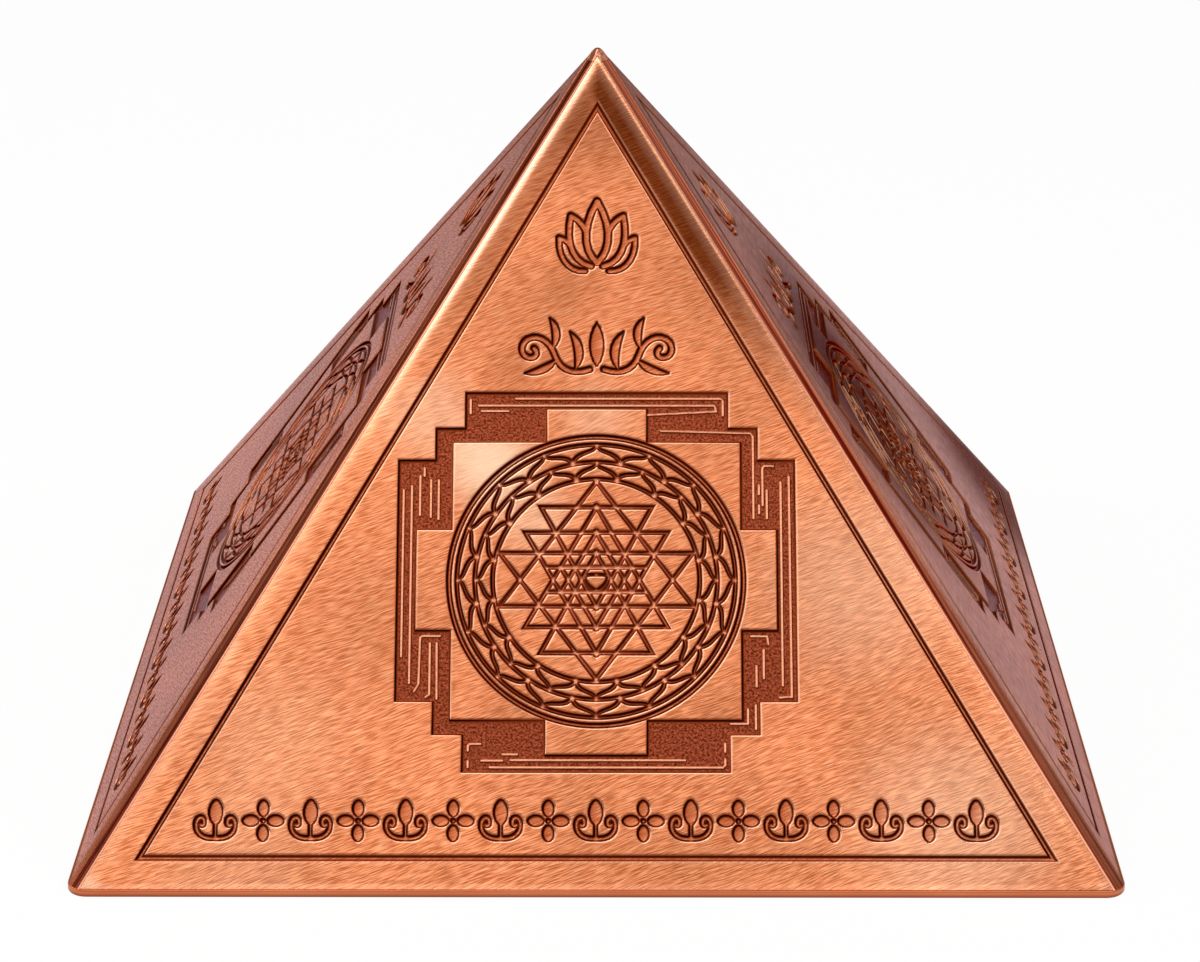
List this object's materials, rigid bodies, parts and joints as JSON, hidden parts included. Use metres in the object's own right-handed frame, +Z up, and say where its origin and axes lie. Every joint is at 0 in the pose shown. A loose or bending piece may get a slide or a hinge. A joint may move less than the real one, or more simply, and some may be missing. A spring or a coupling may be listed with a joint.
{
  "type": "yantra pyramid",
  "caption": "Hollow copper pyramid with a pressed Sri Yantra, lotus ornaments and a line border on every face, on a flat screwed base plate.",
  "frame": {"origin": "middle of the underside of the base plate", "axes": "+Z up through the apex, front face towards -Y, +X to the right of someone who looks at the front"},
  "size_m": [0.1, 0.1, 0.069],
  "materials": {
    "pressed_copper": "copper sheet, pressed, with a fine satin grain and dark patina left in the pressed lines",
    "polished_copper": "copper, polished smooth and darkened",
    "rolled_copper": "rolled copper sheet, lightly worn",
    "frame_brass": "drawn brass bar, unpolished",
    "screw_steel": "turned steel, bright"
  },
  "bodies": {
    "root": {"front_face_plate": "pressed_copper", "right_face_plate": "pressed_copper", "back_face_plate": "pressed_copper", "left_face_plate": "pressed_copper", "front_left_hip_strip": "polished_copper", "front_right_hip_strip": "polished_copper", "back_right_hip_strip": "polished_copper", "back_left_hip_strip": "polished_copper", "apex_cap": "polished_copper", "apex_block": "frame_brass", "base_plate": "rolled_copper", "front_base_rail": "frame_brass", "right_base_rail": "frame_brass", "back_base_rail": "frame_brass", "left_base_rail": "frame_brass", "front_left_corner_block": "frame_brass", "front_right_corner_block": "frame_brass", "back_right_corner_block": "frame_brass", "back_left_corner_block": "frame_brass", "front_left_base_screw": "screw_steel", "front_right_base_screw": "screw_steel", "back_right_base_screw": "screw_steel", "back_left_base_screw": "screw_steel"}
  },
  "joints": []
}
